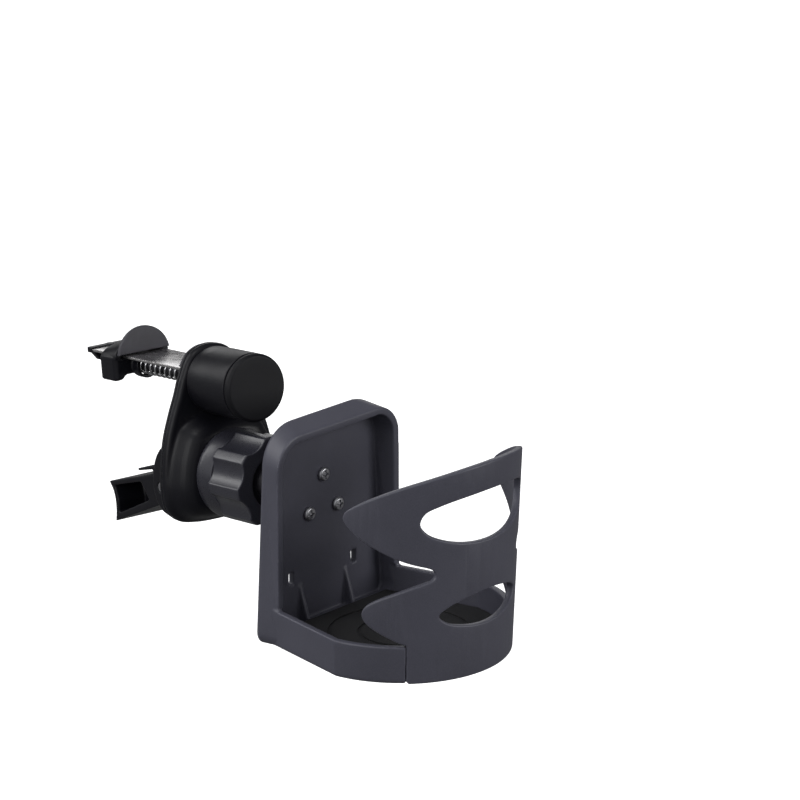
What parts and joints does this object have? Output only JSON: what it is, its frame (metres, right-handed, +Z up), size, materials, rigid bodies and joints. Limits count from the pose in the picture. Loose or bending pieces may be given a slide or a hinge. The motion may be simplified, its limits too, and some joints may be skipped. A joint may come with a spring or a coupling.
{
  "type": "desk clamp cup holder",
  "caption": "Cup holder with an open front guard and tray, carried on a lockable ball joint by a screw clamp with a sliding jaw and a folding support foot.",
  "frame": {"origin": "centre of the round tray on the flat underside of the holder base", "axes": "+Z up out of the cup, +Y from the open front guard towards the clamp, +X to the right seen from the guard"},
  "size_m": [0.0852, 0.2191, 0.0954],
  "materials": {
    "shell": "fine grained charcoal moulding",
    "nut_plastic": "satin charcoal moulding",
    "dark_plastic": "satin near-black moulding",
    "cap_plastic": "smooth satin black",
    "rubber": "matte elastomer",
    "zinc": "powder coated die casting",
    "steel": "brushed stainless",
    "spring_steel": "bright drawn wire",
    "screw_steel": "zinc plated",
    "acetal": "natural low-friction plastic"
  },
  "bodies": {
    "clamp": {"clamp_body": "dark_plastic", "rear_cover": "dark_plastic", "body_pad": "rubber", "guide_strip": "steel", "strip_stop": "dark_plastic", "thrust_washer": "acetal", "socket_collet": "nut_plastic", "foot_pin": "steel", "clamp_spring": "spring_steel", "socket_screw_1": "screw_steel", "socket_screw_2": "screw_steel", "socket_screw_3": "screw_steel", "cover_screw_1": "screw_steel", "cover_screw_2": "screw_steel", "cover_screw_3": "screw_steel", "cover_screw_4": "screw_steel"},
    "ball_spin_seat": {"ball_seat": "acetal"},
    "ball_tilt_liner": {"ball_liner": "dark_plastic"},
    "holder": {"holder_frame": "shell", "front_guard": "shell", "base_mat": "rubber", "ball_stud": "zinc", "guard_screw_1": "screw_steel", "guard_screw_2": "screw_steel", "stud_screw_1": "screw_steel", "stud_screw_2": "screw_steel", "stud_screw_3": "screw_steel"},
    "knob": {"clamp_knob": "dark_plastic", "knob_cap": "cap_plastic", "clamp_screw": "steel", "retaining_clip": "steel"},
    "jaw": {"jaw_block": "dark_plastic", "jaw_pad": "rubber", "jaw_nut": "steel"},
    "lock_ring": {"lock_nut": "nut_plastic"},
    "foot": {"support_foot": "dark_plastic"}
  },
  "joints": [
    {"name": "ball_spin", "type": "hinge", "parent": "clamp", "child": "ball_spin_seat", "pos_m": [0, 0.0669, 0.0482], "axis": [0.2146, 0.9679, -0.1305], "range_deg": [-45, 45]},
    {"name": "ball_tilt", "type": "hinge", "parent": "ball_spin_seat", "child": "ball_tilt_liner", "pos_m": [0, 0.0669, 0.0482], "axis": [0.9763, -0.2164, 0], "range_deg": [-25.5, 10.5]},
    {"name": "ball_pan", "type": "hinge", "parent": "ball_tilt_liner", "child": "holder", "pos_m": [0, 0.0669, 0.0482], "axis": [0, 0, 1], "range_deg": [-30.5, 5.5]},
    {"name": "knob_turn", "type": "hinge", "parent": "clamp", "child": "knob", "pos_m": [0.00099, 0.07135, 0.0828], "axis": [0.2146, 0.9679, -0.1305], "range_deg": [-1620, 6480]},
    {"name": "jaw_slide", "type": "slide", "parent": "clamp", "child": "jaw", "axis": [0.2146, 0.9679, -0.1305], "range_m": [-0.036, 0.009], "deforming": ["clamp_spring"]},
    {"name": "lock_nut_turn", "type": "hinge", "parent": "clamp", "child": "lock_ring", "pos_m": [0, 0.0669, 0.0482], "axis": [0.2146, 0.9679, -0.1305], "range_deg": [-90, 30]},
    {"name": "foot_fold", "type": "hinge", "parent": "clamp", "child": "foot", "pos_m": [0.00842, 0.10486, 0.03864], "axis": [0.9763, -0.2164, 0], "range_deg": [-60, 15]}
  ],
  "couplings": [
    {"joint": "jaw_slide", "follows": "knob_turn", "m_per_rad": -0.00031831}
  ]
}
